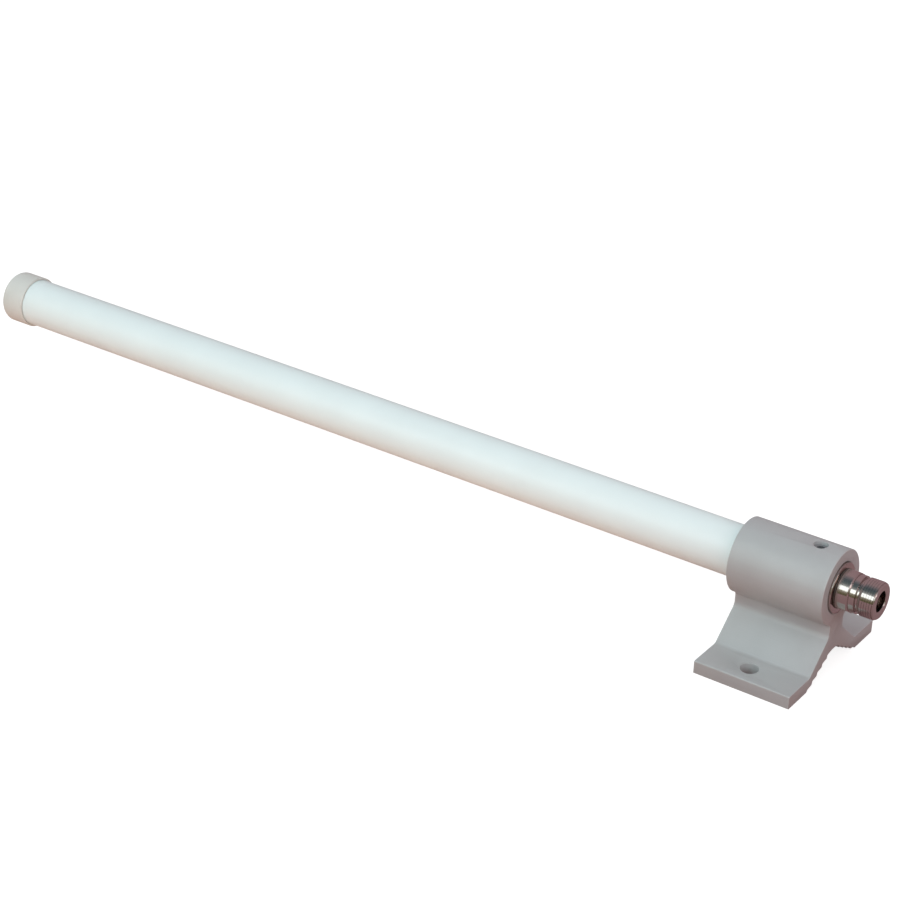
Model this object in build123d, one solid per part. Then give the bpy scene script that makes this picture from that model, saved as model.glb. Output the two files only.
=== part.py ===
from build123d import *
import math
import os

# Omnidirectional stick antenna in a collar bracket. Millimetres, +Z up.
# The antenna's axis lies along X. The jack is at the +X end and the cap at the -X end.
# The origin is midway between the two bolt holes, on the underside of the flanges.

# Bracket
collar_d = 31.75
collar_length = 42.6
axis_height = 38.4
flange_span = 72.2
flange_thickness = 5.8
flange_flat = 16.7
bolt_hole_d = 7.8
bolt_hole_edge = 8.6
bolt_hole_from_face = 22.4
vee_width = 41.8
vee_depth = 11.6
tooth_pitch = 4.4
tooth_depth = 1.1
tooth_rise = 0.6
tooth_root_share = 0.75
neck_width = 11.3
leg_top_height = 17.7
leg_fillet = 4.0
foot_fillet = 2.5
collar_fillet = 2.5
flange_edge_fillet = 0.5
collar_chamfer = 0.2
lip_thickness = 3.4
lip_inset = 0.3
lip_chamfer = 0.4

# Set screw
screw_d = 6.0
screw_from_face = 10.4
screw_recess = 1.5
screw_chamfer = 0.5
screw_socket_af = 3.0
screw_socket_depth = 1.6

# Tube and cap
tube_d = 22.0
tube_wall = 2.0
tube_length = 436.0
cap_wall = 1.0
cap_face = 2.5
cap_skirt_length = 13.2
cap_round = 2.4
spigot_length = 8.0
spigot_wall = 2.2

# Base plug
plug_flange_length = 3.0
plug_skirt_length = 33.0
plug_web_depth = 11.0
plug_skirt_wall = 1.5
nose_length = 2.4
nose_inset = 2.1

# O-rings
seal_depth = 1.3
seal_groove_gap = 0.2
plug_seal_setback = 8.6
cap_seal_setback = 3.6

# Jack
thread_d = 15.875
thread_length = 7.3
thread_chamfer = 0.7
groove_d = 13.9
groove_length = 1.0
collar_step_d = 15.8
collar_step_length = 2.4
shoulder_d = 17.6
shoulder_length = 5.6
shoulder_flats = 16.2
shoulder_flats_turn = -35.0
shoulder_chamfer = 0.5
stem_d = 10.0
stem_length = 25.0
socket_d = 8.6
socket_depth = 9.1
socket_chamfer = 0.35
line_bore_d = 7.0
washer_inset = 0.1
washer_thickness = 1.9
gasket_inset = 2.3
gasket_thickness = 0.5

# Jack nut and lock washer
nut_thickness = 3.0
nut_corner_gap = 0.25
lock_washer_thickness = 0.8
lock_washer_slot = 1.0

# Contact and its insulating beads
contact_d = 3.04
contact_recess = 3.9
contact_bore_d = 1.65
contact_bore_depth = 5.5
contact_slot = 0.35
contact_cup_depth = 2.5
bead_length = 4.0
bead_setback = 1.5

# Feed line
coax_d = 3.58
coax_dielectric_d = 2.98
coax_wire_d = 0.92
ferrule_flange_d = 9.2
ferrule_flange_length = 3.0
ferrule_spigot_length = 2.5
coax_length = 53.0
dielectric_step = 1.0
wire_step = 5.0

# Choke sleeve
choke_d = 9.0
choke_wall = 0.5
choke_length = 30.0
choke_end = 1.0

# Array board
board_top_gap = 20.8
board_width = 11.0
board_thickness = 1.0
copper_thickness = 0.165
board_gap = 0.5
dipole_count = 4
arm_width = 8.6
arm_length = 24.0
line_width = 1.6
arm_gap = 2.0
strap_width = 2.0
strap_thickness = 0.25
strap_lap = 4.0
solder_length = 3.0
solder_height = 0.5

# Board supports
holder_length = 12.0
holder_lap = 4.0
holder_bore_d = 6.6
spacer_length = 8.0
spacer_places = (0.25, 0.5, 0.75)
cushion_grip = 3.0

# Clearances
slide_clearance = 0.05
seat_gap = 0.05
glue_gap = 0.05
thread_gap = 0.03
screw_tip_gap = 0.04
slot_gap = 0.1
fit_gap = 0.02
foam_gap = 0.1

# How far a cutter stands past the surface that it opens
cut_margin = 1.0

# Radii and stations along X that several pieces share
collar_r = collar_d / 2
tube_r = tube_d / 2
tube_bore_r = tube_r - tube_wall
collar_bore_r = tube_r + slide_clearance
lip_r = tube_r - lip_inset
face_x = bolt_hole_from_face
rear_x = face_x - collar_length
lip_x = face_x - lip_thickness
plug_front_x = lip_x - seat_gap
tube_base_x = plug_front_x - plug_flange_length
tube_top_x = tube_base_x - tube_length
cap_end_x = tube_top_x - cap_face
nose_x = plug_front_x + nose_length
plug_r = tube_bore_r - glue_gap
plug_skirt_r = plug_r - plug_skirt_wall
web_x = tube_base_x - plug_web_depth
gasket_x = nose_x + washer_thickness
shoulder_x = gasket_x + gasket_thickness
step_x = shoulder_x + shoulder_length
groove_x = step_x + collar_step_length
thread_x = groove_x + groove_length
jack_face_x = thread_x + thread_length
stem_x = shoulder_x - stem_length
stem_r = stem_d / 2
contact_tip_x = jack_face_x - contact_recess
contact_tail_x = stem_x + ferrule_spigot_length + dielectric_step
coax_base_x = stem_x + ferrule_spigot_length
coax_end_x = coax_base_x - coax_length
choke_open_x = coax_end_x
board_base_x = coax_end_x - dielectric_step - board_gap
board_end_x = tube_top_x + board_top_gap
seal_r = seal_depth / 2
spigot_r = tube_bore_r - glue_gap

# Heights of the board's layers, measured from the antenna's axis. The wire lies on the front copper.
front_copper_z = -coax_wire_d / 2 - copper_thickness
board_z = front_copper_z - board_thickness
rear_copper_z = board_z - copper_thickness
board_mid_z = (front_copper_z + board_z) / 2
antenna_axis = Axis((0, 0, axis_height), (1, 0, 0))


def rod(x_start, x_end, radius):
    """Cylinder on the antenna's axis."""
    place = Pos((x_start + x_end) / 2, 0, axis_height) * Rot(0, 90, 0)
    return place * Cylinder(radius, abs(x_end - x_start))


def ring(x_start, x_end, outer_r, inner_r):
    """Plain tube on the antenna's axis."""
    low = min(x_start, x_end)
    high = max(x_start, x_end)
    return rod(low, high, outer_r) - rod(low - cut_margin, high + cut_margin, inner_r)


def turned(outline):
    """Solid turned about the antenna's axis from (x, radius) corners."""
    corners = [(x, 0, axis_height + radius) for x, radius in outline]
    return revolve(make_face(Polyline(*corners, close=True)), antenna_axis)


def block(x_start, x_end, width, z_low, z_high):
    """Rectangular bar along X; heights are measured from the antenna's axis."""
    place = Pos((x_start + x_end) / 2, 0, axis_height + (z_low + z_high) / 2)
    return place * Box(abs(x_end - x_start), width, z_high - z_low)


def seal(x_mid, floor_r):
    """O-ring that just touches its groove's floor and the tube's bore."""
    section_r = (tube_bore_r - floor_r) / 2
    place = Pos(x_mid, 0, axis_height) * Rot(0, 90, 0)
    return place * Torus(floor_r + section_r, section_r)


def corner_at(sketch, y, z):
    """The sketch's corner nearest to a point of the bracket's outline."""
    return sketch.vertices().sort_by_distance((0, y, z))[0]


def vee_flank():
    """Teeth of one vee flank, from the apex down to the flange, as (y, z) corners."""
    half = vee_width / 2
    length = math.hypot(half, vee_depth)
    count = int(length / tooth_pitch)
    along = (half / length, -vee_depth / length)
    inward = (vee_depth / length, half / length)
    start = length - count * tooth_pitch
    corners = []
    for tooth in range(count):
        crest = start + tooth * tooth_pitch
        root = crest + tooth_pitch * tooth_root_share
        for distance, sunk in ((crest, -tooth_rise), (root, tooth_depth - tooth_rise)):
            y = along[0] * distance + inward[0] * sunk
            z = along[1] * distance + inward[1] * sunk
            corners.append((y, vee_depth + z))
    corners.append((half, 0.0))
    return corners


def bracket_outline():
    """Outline of the extrusion: collar, neck, legs and flanges."""
    foot_y = flange_span / 2 - flange_flat
    neck_y = neck_width / 2
    join_z = axis_height - math.sqrt(collar_r ** 2 - neck_y ** 2)
    side = vee_flank()
    side += [
        (flange_span / 2, 0.0),
        (flange_span / 2, flange_thickness),
        (foot_y, flange_thickness),
        (neck_y, leg_top_height),
        (neck_y, axis_height),
    ]
    other_side = [(-y, z) for y, z in reversed(side)]
    outline = [(0, y, z) for y, z in side + other_side]
    legs = make_face(Polyline(*outline, close=True))
    collar = Plane.YZ * Pos(0, axis_height) * Circle(collar_r)
    sketch = legs + collar
    for sign in (1, -1):
        sketch = fillet(corner_at(sketch, sign * neck_y, join_z), collar_fillet)
        sketch = fillet(corner_at(sketch, sign * neck_y, leg_top_height), leg_fillet)
        sketch = fillet(corner_at(sketch, sign * foot_y, flange_thickness), foot_fillet)
        for edge_z in (0.0, flange_thickness):
            sketch = fillet(corner_at(sketch, sign * flange_span / 2, edge_z), flange_edge_fillet)
    return sketch


def rim_cut(end_x, inward):
    """Chamfer of the collar's rim at one end, stopping at the neck; inward is the way into the collar."""
    outer_r = collar_r + collar_chamfer
    cut = turned([
        (end_x, collar_r - collar_chamfer),
        (end_x + inward * 2 * collar_chamfer, outer_r),
        (end_x, outer_r),
    ])
    neck = neck_width / 2 + collar_fillet
    return cut - block(-collar_length, collar_length, 2 * neck, -2 * collar_r, 0)


def mounting_bracket():
    """Collar bracket with a stepped bore, a tapped hole and two bolt holes."""
    body = Pos(rear_x, 0, 0) * extrude(bracket_outline(), amount=collar_length, dir=(1, 0, 0))
    body -= rim_cut(face_x, -1)
    body -= rim_cut(rear_x, 1)
    body -= rod(rear_x - cut_margin, lip_x, collar_bore_r)
    body -= rod(lip_x - cut_margin, face_x + cut_margin, lip_r)
    body -= turned([
        (face_x - lip_chamfer, lip_r - cut_margin),
        (face_x - lip_chamfer, lip_r),
        (face_x, lip_r + lip_chamfer),
        (face_x, lip_r - cut_margin),
    ])
    hole_y = flange_span / 2 - bolt_hole_edge
    for sign in (1, -1):
        place = Pos(0, sign * hole_y, flange_thickness / 2)
        body -= place * Cylinder(bolt_hole_d / 2, flange_thickness + 2 * cut_margin)
    depth = collar_r + cut_margin
    place = Pos(face_x - screw_from_face, 0, axis_height + depth / 2)
    body -= place * Cylinder(screw_d / 2 + thread_gap, depth)
    return body


def set_screw():
    """Grub screw with a hexagon socket and a flat point."""
    low_z = axis_height + tube_r + screw_tip_gap
    high_z = axis_height + collar_r - screw_recess
    length = high_z - low_z
    screw = Cylinder(screw_d / 2, length)
    screw = chamfer(screw.edges().filter_by(GeomType.CIRCLE), screw_chamfer)
    socket = RegularPolygon(screw_socket_af / 2, 6, major_radius=False)
    socket = extrude(Pos(0, 0, length / 2 - screw_socket_depth) * socket, screw_socket_depth)
    return Pos(face_x - screw_from_face, 0, (low_z + high_z) / 2) * (screw - socket)


def radome_tube():
    """Fibreglass tube, square cut at both ends."""
    return ring(tube_top_x, tube_base_x, tube_r, tube_bore_r)


def end_cap():
    """Moulded cap: skirt over the tube, rounded shoulder, hollow spigot with a seal groove."""
    outer_r = tube_r + slide_clearance + cap_wall
    inside_x = tube_top_x
    skirt_x = cap_end_x + cap_skirt_length
    spigot_x = inside_x + spigot_length
    body = turned([
        (cap_end_x, 0),
        (cap_end_x, outer_r),
        (skirt_x, outer_r),
        (skirt_x, tube_r + slide_clearance),
        (inside_x, tube_r + slide_clearance),
        (inside_x, spigot_r),
        (spigot_x, spigot_r),
        (spigot_x, spigot_r - spigot_wall),
        (inside_x, spigot_r - spigot_wall),
        (inside_x, 0),
    ])
    closed_end = body.edges().filter_by(GeomType.CIRCLE).group_by(Axis.X)[0]
    body = fillet(closed_end, cap_round)
    groove_half = seal_r + seal_groove_gap
    middle = inside_x + cap_seal_setback
    return body - ring(middle - groove_half, middle + groove_half, tube_r, tube_bore_r - seal_depth)


def cap_seal():
    """O-ring on the cap's spigot."""
    return seal(tube_top_x + cap_seal_setback, tube_bore_r - seal_depth)


def base_plug():
    """Turned plug: nose, flange that stops on the collar's lip, web and skirt glued in the tube."""
    body = turned([
        (nose_x, stem_r + slide_clearance),
        (nose_x, lip_r - nose_inset),
        (plug_front_x, lip_r - nose_inset),
        (plug_front_x, tube_r),
        (tube_base_x, tube_r),
        (tube_base_x, plug_r),
        (tube_base_x - plug_skirt_length, plug_r),
        (tube_base_x - plug_skirt_length, plug_skirt_r),
        (web_x, plug_skirt_r),
        (web_x, stem_r + slide_clearance),
    ])
    groove_half = seal_r + seal_groove_gap
    middle = tube_base_x - plug_seal_setback
    return body - ring(middle - groove_half, middle + groove_half, tube_r, tube_bore_r - seal_depth)


def plug_seal():
    """O-ring on the base plug."""
    return seal(tube_base_x - plug_seal_setback, tube_bore_r - seal_depth)


def connector_body():
    """Jack shell: stem, shoulder with two wrench flats, step, relief groove and barrel."""
    thread_r = thread_d / 2
    shoulder_r = shoulder_d / 2
    shell = turned([
        (stem_x, 0),
        (stem_x, stem_r),
        (shoulder_x, stem_r),
        (shoulder_x, shoulder_r - shoulder_chamfer),
        (shoulder_x + shoulder_chamfer, shoulder_r),
        (step_x - shoulder_chamfer, shoulder_r),
        (step_x, shoulder_r - shoulder_chamfer),
        (step_x, collar_step_d / 2),
        (groove_x, collar_step_d / 2),
        (groove_x, groove_d / 2),
        (thread_x, groove_d / 2),
        (thread_x, thread_r),
        (jack_face_x - thread_chamfer, thread_r),
        (jack_face_x, thread_r - thread_chamfer),
        (jack_face_x, 0),
    ])
    flat_depth = shoulder_r - shoulder_flats / 2 + cut_margin
    flats = block(shoulder_x, step_x, shoulder_d, shoulder_flats / 2, shoulder_flats / 2 + flat_depth)
    flats += block(shoulder_x, step_x, shoulder_d, -shoulder_flats / 2 - flat_depth, -shoulder_flats / 2)
    shell -= flats.rotate(antenna_axis, shoulder_flats_turn)
    socket_r = socket_d / 2
    shell -= turned([
        (jack_face_x - socket_depth, 0),
        (jack_face_x - socket_depth, socket_r),
        (jack_face_x - socket_chamfer, socket_r),
        (jack_face_x, socket_r + socket_chamfer),
        (jack_face_x, 0),
    ])
    return shell - rod(stem_x - cut_margin, jack_face_x, line_bore_d / 2)


def connector_washer():
    """Flat washer on the plug's nose."""
    return ring(nose_x, gasket_x, lip_r - washer_inset, stem_r + slide_clearance)


def connector_gasket():
    """Rubber ring under the jack's shoulder."""
    return ring(gasket_x, shoulder_x, lip_r - gasket_inset, stem_r + slide_clearance)


def lock_washer():
    """Split spring washer behind the plug's web."""
    outer_r = (plug_skirt_r - nut_corner_gap) * math.cos(math.pi / 6)
    washer = ring(web_x - lock_washer_thickness, web_x, outer_r, stem_r + slide_clearance)
    slot = block(web_x - lock_washer_thickness, web_x, lock_washer_slot, 0, outer_r)
    return washer - slot


def lock_nut():
    """Thin hexagon nut on the jack's stem."""
    nut_x = web_x - lock_washer_thickness
    hexagon = RegularPolygon(plug_skirt_r - nut_corner_gap, 6)
    nut = Plane.YZ.offset(nut_x - nut_thickness) * Pos(0, axis_height) * hexagon
    nut = extrude(nut, nut_thickness)
    return nut - rod(nut_x - nut_thickness - cut_margin, nut_x + cut_margin, stem_r + thread_gap)


def centre_contact():
    """Slotted socket contact with a solder cup at its rear end."""
    contact = rod(contact_tail_x, contact_tip_x, contact_d / 2)
    bore_end_x = contact_tip_x - contact_bore_depth
    contact -= rod(bore_end_x, contact_tip_x + cut_margin, contact_bore_d / 2)
    wire_r = coax_wire_d / 2 + fit_gap
    contact -= rod(contact_tail_x - cut_margin, contact_tail_x + contact_cup_depth, wire_r)
    upright = block(bore_end_x, contact_tip_x, contact_slot, -contact_d, contact_d)
    contact -= upright
    contact -= upright.rotate(antenna_axis, 90)
    return contact


def bead(x_start):
    """Insulating bead between the contact and the shell."""
    return ring(x_start, x_start + bead_length, line_bore_d / 2 - fit_gap, contact_d / 2 + fit_gap)


def front_bead():
    """Bead level with the bottom of the jack's socket."""
    return bead(jack_face_x - socket_depth - bead_length)


def rear_bead():
    """Bead near the contact's rear end."""
    return bead(contact_tail_x + bead_setback)


def feed_ferrule():
    """Flanged bush that joins the feed line's shield to the jack's stem."""
    flange = rod(stem_x - ferrule_flange_length, stem_x, ferrule_flange_d / 2)
    spigot = rod(stem_x, coax_base_x, line_bore_d / 2 - fit_gap)
    bore = rod(stem_x - ferrule_flange_length - cut_margin, coax_base_x + cut_margin, coax_d / 2 + fit_gap)
    return flange + spigot - bore


def coax_outer():
    """Copper shield of the rigid feed line."""
    return ring(coax_end_x, coax_base_x, coax_d / 2, coax_dielectric_d / 2 + fit_gap)


def coax_dielectric():
    """Insulation of the feed line, proud of the shield at both ends."""
    inner_r = coax_wire_d / 2 + fit_gap
    return ring(coax_end_x - dielectric_step, contact_tail_x, coax_dielectric_d / 2, inner_r)


def coax_inner():
    """Wire of the feed line, from the contact's cup to the board."""
    return rod(coax_end_x - wire_step, contact_tail_x + contact_cup_depth, coax_wire_d / 2)


def choke_sleeve():
    """Quarter-wave sleeve, closed on the shield at its base end and open at the other."""
    sleeve_r = choke_d / 2
    short_x = choke_open_x + choke_length
    sleeve = ring(choke_open_x, short_x, sleeve_r, coax_d / 2 + fit_gap)
    return sleeve - rod(choke_open_x, short_x - choke_end, sleeve_r - choke_wall)


def array_board():
    """Glass-epoxy strip."""
    return block(board_end_x, board_base_x, board_width, board_z, front_copper_z)


def dipole_side(z_low, direction):
    """Copper of one face: a feed line with one wide arm for each dipole."""
    z_high = z_low + copper_thickness
    pitch = (board_base_x - board_end_x) / dipole_count
    last_x = board_base_x - pitch * (dipole_count - 0.5)
    copper = block(last_x, board_base_x, line_width, z_low, z_high)
    for index in range(dipole_count):
        centre_x = board_base_x - pitch * (index + 0.5)
        near_x = centre_x + direction * arm_gap / 2
        far_x = near_x + direction * arm_length
        copper += block(near_x, far_x, arm_width, z_low, z_high)
        copper += block(centre_x, near_x, line_width, z_low, z_high)
    return copper


def front_dipoles():
    """Copper on the front face, arms towards the cap."""
    return dipole_side(front_copper_z, -1)


def rear_dipoles():
    """Copper on the rear face, arms towards the base."""
    return dipole_side(rear_copper_z, 1)


def ground_strap():
    """Strip from the feed line's shield to the rear copper, with a riser where their levels differ."""
    shield_z = -coax_d / 2
    low = min(shield_z, rear_copper_z) - strap_thickness
    high = max(shield_z, rear_copper_z)
    start_x = coax_end_x + strap_lap
    end_x = board_base_x - strap_lap
    strap = block(coax_end_x, start_x, strap_width, shield_z - strap_thickness, shield_z)
    strap += block(board_base_x, coax_end_x - dielectric_step, strap_width, low, high)
    strap += block(coax_end_x - dielectric_step, coax_end_x, strap_width, low, shield_z)
    strap += block(end_x, board_base_x, strap_width, rear_copper_z - strap_thickness, rear_copper_z)
    return strap


def feed_solder():
    """Solder around the wire's end on the front copper."""
    wire_r = coax_wire_d / 2
    end_x = coax_end_x - wire_step
    solder = block(end_x, end_x + solder_length, line_width, -wire_r, solder_height)
    return solder - rod(end_x - cut_margin, end_x + solder_length + cut_margin, wire_r + fit_gap)


def board_slot(x_start, x_end):
    """Room for the board with its copper."""
    half_height = (front_copper_z + copper_thickness - rear_copper_z) / 2 + slot_gap
    width = board_width + 2 * slot_gap
    return block(x_start, x_end, width, board_mid_z - half_height, board_mid_z + half_height)


def board_holder():
    """Nylon holder: bore over the choke's open end and slot for the board's base end."""
    start_x = choke_open_x + holder_lap
    end_x = start_x - holder_length
    body = ring(end_x, start_x, plug_r, holder_bore_d / 2)
    body -= rod(choke_open_x - slot_gap, start_x + cut_margin, choke_d / 2 + slot_gap)
    return body - board_slot(end_x - cut_margin, board_base_x + slot_gap)


def spacer(place):
    """Foam disc at a share of the board's length from its base end."""
    middle = board_base_x + (board_end_x - board_base_x) * place
    low = middle - spacer_length / 2
    high = middle + spacer_length / 2
    return rod(low, high, tube_bore_r - foam_gap) - board_slot(low - cut_margin, high + cut_margin)


def spacer_lower():
    """Foam disc nearest the jack."""
    return spacer(spacer_places[0])


def spacer_middle():
    """Foam disc at the middle of the board."""
    return spacer(spacer_places[1])


def spacer_upper():
    """Foam disc nearest the cap."""
    return spacer(spacer_places[2])


def top_cushion():
    """Foam block between the cap's spigot and the board's end."""
    low = tube_top_x + spigot_length + foam_gap
    high = board_end_x + cushion_grip
    grip = board_slot(board_end_x - slot_gap, high + cut_margin)
    return rod(low, high, tube_bore_r - foam_gap) - grip


pieces = [
    mounting_bracket,
    set_screw,
    radome_tube,
    end_cap,
    cap_seal,
    base_plug,
    plug_seal,
    connector_body,
    connector_washer,
    connector_gasket,
    lock_washer,
    lock_nut,
    centre_contact,
    front_bead,
    rear_bead,
    feed_ferrule,
    coax_outer,
    coax_dielectric,
    coax_inner,
    choke_sleeve,
    array_board,
    front_dipoles,
    rear_dipoles,
    ground_strap,
    feed_solder,
    board_holder,
    spacer_lower,
    spacer_middle,
    spacer_upper,
    top_cushion,
]

os.makedirs("parts", exist_ok=True)
for piece in pieces:
    export_step(piece(), f"parts/{piece.__name__}.step")
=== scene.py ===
"""Visual model of an omnidirectional stick antenna in a collar bracket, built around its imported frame."""

import math

import bmesh
import bpy
from mathutils import Matrix, Vector


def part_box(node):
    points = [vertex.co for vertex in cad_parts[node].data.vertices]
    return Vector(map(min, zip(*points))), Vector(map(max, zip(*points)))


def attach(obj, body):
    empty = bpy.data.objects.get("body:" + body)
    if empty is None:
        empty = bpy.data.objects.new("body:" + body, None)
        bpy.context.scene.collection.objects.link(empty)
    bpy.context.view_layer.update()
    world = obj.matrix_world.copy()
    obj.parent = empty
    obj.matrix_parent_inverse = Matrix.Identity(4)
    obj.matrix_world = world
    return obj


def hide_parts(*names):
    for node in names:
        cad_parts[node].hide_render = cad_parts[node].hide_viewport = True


bl_info = {
    "name": "Stick Antenna Builder",
    "version": (1, 0, 0),
    "blender": (4, 5, 0),
    "location": "3D View > Sidebar > Antenna",
    "description": "Builds an omnidirectional stick antenna, its collar bracket and a plain studio",
    "category": "Object",
}

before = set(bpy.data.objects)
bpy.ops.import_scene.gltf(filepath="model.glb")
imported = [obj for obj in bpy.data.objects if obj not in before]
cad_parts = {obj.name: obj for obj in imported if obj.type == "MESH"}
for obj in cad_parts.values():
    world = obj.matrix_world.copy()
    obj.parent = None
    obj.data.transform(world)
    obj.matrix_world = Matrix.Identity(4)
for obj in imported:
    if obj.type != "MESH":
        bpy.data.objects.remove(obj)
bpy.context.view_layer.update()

MM = 0.001


def node_x(name):
    """Lowest and highest X of a frame node, in metres."""
    low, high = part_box(name)
    return low.x, high.x


def node_radius(name):
    """Radius of a round frame node that lies along X, in metres."""
    low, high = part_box(name)
    return max(high.y - low.y, high.z - low.z) / 2


TUBE_LOW, TUBE_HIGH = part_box("radome_tube")
AXIS_Z = (TUBE_LOW.z + TUBE_HIGH.z) / 2
THREAD_SIDE = -90  # degrees that turn the thread's section so that its crest faces away from the axis
THREAD_FOOT = 0.9  # share of the pitch that the thread's foot takes
THREAD_SUNK = 0.5  # share of the thread's depth that its foot is sunk into the barrel
ROUND_SIDES = 160  # sides of a turned surface
HARD_EDGE = 30  # degrees between two faces from which their edge is drawn hard
MIX_SHARE, MIX_FIRST, MIX_SECOND = 0, 6, 7  # inputs of a Mix node that mixes colours


# ---------------------------------------------------------------------------------------------
# Sizes and colours that a user would change
# ---------------------------------------------------------------------------------------------


def linear(hex_colour):
    """sRGB hex colour as linear red, green and blue."""
    channels = [int(hex_colour[i:i + 2], 16) / 255 for i in (1, 3, 5)]
    return tuple(c / 12.92 if c <= 0.04045 else ((c + 0.055) / 1.055) ** 2.4 for c in channels)


def length(name, description, millimetres):
    """A length property, given in millimetres and kept in metres."""
    return bpy.props.FloatProperty(
        name=name, description=description, default=millimetres * MM, unit="LENGTH", precision=5
    )


def angle(name, description, degrees):
    """An angle property, given in degrees and kept in radians."""
    return bpy.props.FloatProperty(
        name=name, description=description, default=math.radians(degrees), subtype="ANGLE"
    )


def colour(name, description, hex_colour):
    """A linear colour property with its default given as sRGB hex."""
    return bpy.props.FloatVectorProperty(
        name=name, description=description, default=linear(hex_colour), subtype="COLOR", min=0.0, max=1.0
    )


def power(name, description, watts):
    """A light's power in watts."""
    return bpy.props.FloatProperty(name=name, description=description, default=watts, min=0.0, unit="POWER")


class AntennaSizes(bpy.types.PropertyGroup):
    """Sizes of the detail that the frame leaves to the visual model."""

    bracket_edge: length("Bracket Edge", "Rounding that blasting leaves on the bracket's edges", 0.22)
    small_edge: length("Small Edge", "Broken edges of the small turned pieces", 0.08)
    tube_wall: length("Tube Wall", "Wall of the fibreglass tube", 2.0)
    tube_edge: length("Tube Edge", "Rounding of the tube's cut ends", 0.3)
    cap_wall: length("Cap Wall", "Wall of the cap's skirt", 1.0)
    cap_face: length("Cap Face", "Thickness of the cap's closed end", 2.5)
    cap_round: length("Cap Shoulder", "Rounding of the cap's closed end", 2.5)
    cap_rim: length("Cap Rim", "Rounding of the cap's open rim", 0.3)
    spigot_length: length("Spigot Length", "Length of the cap's spigot inside the tube", 8.0)
    spigot_wall: length("Spigot Wall", "Wall of the cap's spigot", 2.2)
    seal_squeeze: length("Seal Squeeze", "How far the cap's seal stands proud of the spigot", 0.05)
    groove_room: length("Groove Room", "Room beside the seal at each side of its groove", 0.2)
    thread_pitch: length("Thread Pitch", "Pitch of the jack's 24 per inch thread", 25.4 / 24)
    thread_depth: length("Thread Depth", "Depth of the jack's thread below its crests", 0.36)
    barrel_chamfer: length("Barrel Chamfer", "Chamfer at the jack's mouth", 0.7)
    barrel_length: length("Barrel Length", "Length of the jack's threaded barrel", 7.3)
    barrel_radius: length("Barrel Radius", "Radius of the jack's thread over its crests", 7.9375)
    relief_radius: length("Relief Radius", "Radius of the groove behind the thread", 6.95)
    step_length: length("Step Length", "Length of the round step behind the groove", 2.4)
    step_radius: length("Step Radius", "Radius of that step", 7.9)
    shoulder_length: length("Shoulder Length", "Length of the jack's shoulder", 5.6)
    shoulder_chamfer: length("Shoulder Chamfer", "Chamfer on both edges of the shoulder", 0.5)
    wrench_flats: length("Wrench Flats", "Distance across the flats of the jack's shoulder", 16.2)
    flats_turn: angle("Flats Turn", "Turn of the wrench flats about the jack's axis", -35.0)
    stem_radius: length("Stem Radius", "Radius of the jack's stem inside the plug", 5.0)
    socket_radius: length("Socket Radius", "Radius of the jack's mouth", 4.3)
    socket_chamfer: length("Socket Chamfer", "Chamfer inside the mouth", 0.35)
    line_radius: length("Line Radius", "Radius of the jack's bore behind the mouth", 3.5)


class AntennaColours(bpy.types.PropertyGroup):
    """Base colours of the finishes."""

    gelcoat: colour("Gelcoat", "White gelcoat of the fibreglass tube", "#E4EEEF")
    cap: colour("Cap", "Moulded cap", "#D3D3CF")
    aluminium: colour("Aluminium", "Blasted aluminium of the bracket", "#BCBEBF")
    nickel: colour("Nickel", "Bright nickel plate of the jack", "#B5AAA4")
    steel: colour("Steel", "Zinc plate on the screw", "#A9ACAF")


class AntennaStudio(bpy.types.PropertyGroup):
    """Camera and lights."""

    azimuth: angle("Azimuth", "Camera's turn about Z; 0 looks along +Y", 34.45)
    elevation: angle("Elevation", "Camera's height angle", 27.77)
    roll: angle("Roll", "Camera's turn about its own line of sight", 1.87)
    distance: length("Distance", "Camera's distance from its target", 1033.94)
    lens: bpy.props.FloatProperty(
        name="Lens", description="Focal length in millimetres on a 36 mm sensor", default=95.71
    )
    target: bpy.props.FloatVectorProperty(
        name="Target", description="Point the camera looks at",
        default=(-0.16572, 0.0, 0.03769), subtype="TRANSLATION",
    )
    key_power: power("Key Light", "Power of the softbox in front, which the plating mirrors", 3.4)
    sky_power: power("Sky Light", "Power of the wide softbox overhead", 6.9)
    fill_power: power("Fill Light", "Power of the softbox past the jack's end", 3.8)


# ---------------------------------------------------------------------------------------------
# Shader helpers
# ---------------------------------------------------------------------------------------------


def add(tree, kind, values=None, stops=(), **settings):
    """Adds a node, applies its settings and ramp stops, and fills its inputs with values or with links."""
    made = tree.nodes.new(kind)
    for name, value in settings.items():
        setattr(made, name, value)
    for name, value in (values or {}).items():
        socket = made.inputs[name]
        if isinstance(value, bpy.types.Node):
            value = next(output for output in value.outputs if output.enabled)
        if isinstance(value, bpy.types.NodeSocket):
            tree.links.new(value, socket)
        else:
            socket.default_value = (*value, 1.0) if socket.type == "RGBA" and len(value) == 3 else value
    for step, (place, rgb) in enumerate(stops):
        elements = made.color_ramp.elements
        element = elements[step] if step < len(elements) else elements.new(place)
        element.position = place
        element.color = (*rgb, 1.0)
    return made


def tone(rgb, factor):
    """A colour made lighter or darker."""
    return tuple(min(1.0, channel * factor) for channel in rgb)


def blank(name):
    """New material with an empty node tree; returns the material and its tree."""
    material = bpy.data.materials.new(name)
    material.use_nodes = True
    material.node_tree.nodes.clear()
    return material, material.node_tree


def painted(material, values):
    """Ends a material's tree in a Principled shader with the given inputs; returns the material."""
    tree = material.node_tree
    shader = add(tree, "ShaderNodeBsdfPrincipled", values)
    add(tree, "ShaderNodeOutputMaterial", {"Surface": shader})
    return material


def shared(name, maker, *colours):
    """The material of that name, made only if no other piece has made it yet."""
    return bpy.data.materials.get(name) or maker(*colours)


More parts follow.
